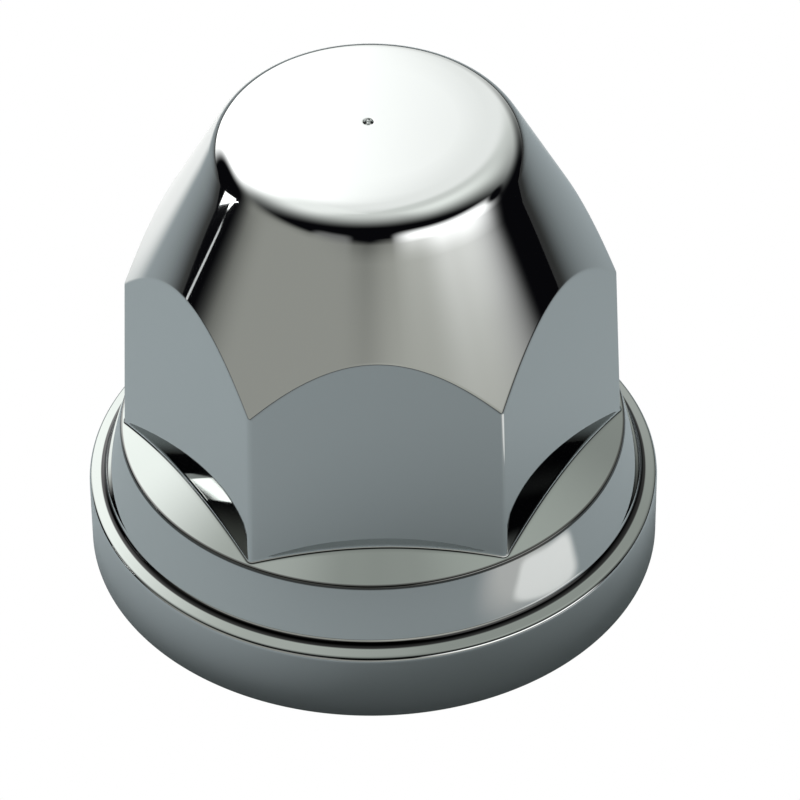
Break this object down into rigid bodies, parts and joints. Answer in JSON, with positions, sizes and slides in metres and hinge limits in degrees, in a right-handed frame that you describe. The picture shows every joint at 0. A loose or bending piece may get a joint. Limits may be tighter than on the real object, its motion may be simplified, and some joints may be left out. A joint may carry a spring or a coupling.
{
  "type": "wheel nut cover cap",
  "caption": "One-piece chrome-plated push-on cover for a hexagonal wheel nut: six flats under a crowned cone, on a stepped round flange, hollow and open below.",
  "frame": {"origin": "centre of the flange's lower face, on the axis of the cap", "axes": "+Z along the axis, out of the crowned nose; the flats face +Y and -Y, and two corners of the hexagon lie on X"},
  "size_m": [0.0504, 0.0504, 0.0452],
  "materials": {
    "chrome_plating": "bright chrome plating on moulded plastic"
  },
  "bodies": {
    "root": {"nut_cover": "chrome_plating"}
  },
  "joints": []
}
